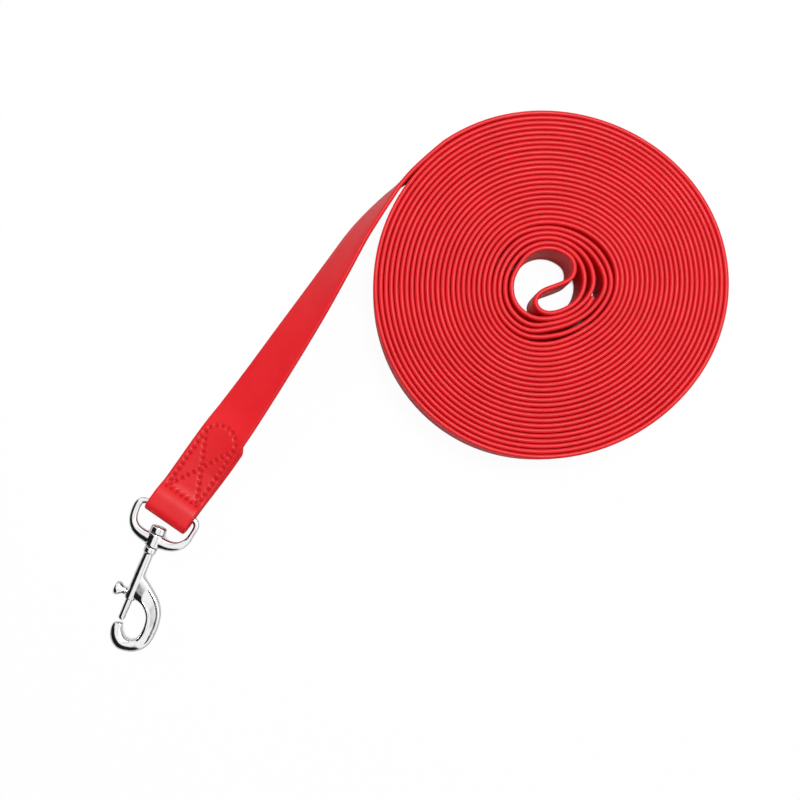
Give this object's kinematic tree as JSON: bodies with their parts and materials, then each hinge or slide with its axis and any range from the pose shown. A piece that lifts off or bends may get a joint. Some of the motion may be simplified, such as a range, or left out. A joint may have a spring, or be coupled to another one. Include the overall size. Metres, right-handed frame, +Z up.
{
  "type": "training leash",
  "caption": "Flat coated dog training leash rolled into a coil round its hand loop, with a swivel-eye bolt snap sewn to its free end.",
  "frame": {"origin": "centre of the leash's footprint, on the surface it lies on", "axes": "+Z up, the coil's axis; +X from the snap towards the coil; +Y away from the snap's end"},
  "size_m": [0.319, 0.2813, 0.0252],
  "materials": {
    "strap": "satin coating over woven webbing",
    "thread": "twisted polyester thread",
    "chrome": "polished plating on a zinc casting",
    "spring_steel": "drawn wire"
  },
  "bodies": {
    "strap": {"strap_coil": "strap", "strap_tail": "strap", "strap_snap_fold": "strap", "snap_seam_thread": "thread", "snap_seam_bobbin_thread": "thread"},
    "eye": {"swivel_eye": "chrome"},
    "hook": {"hook_body": "chrome", "bolt_spring": "spring_steel"},
    "bolt": {"bolt": "chrome", "thumb_knob": "chrome"}
  },
  "joints": [
    {"name": "eye_pivot", "type": "hinge", "parent": "strap", "child": "eye", "pos_m": [-0.13128, -0.06645, 0.0049], "axis": [-0.9248, 0.3804, 0], "range_deg": [-100, 115]},
    {"name": "hook_swivel", "type": "hinge", "parent": "eye", "child": "hook", "pos_m": [-0.1401, -0.0879, 0.00435], "axis": [0.3803, 0.9246, 0.0236], "continuous": true},
    {"name": "bolt_slide", "type": "slide", "parent": "hook", "child": "bolt", "axis": [0.3803, 0.9246, 0.0236], "range_m": [0, 0.009], "stiffness_N_per_m": 300, "springref_m": -0.005, "deforming": ["bolt_spring"]}
  ]
}
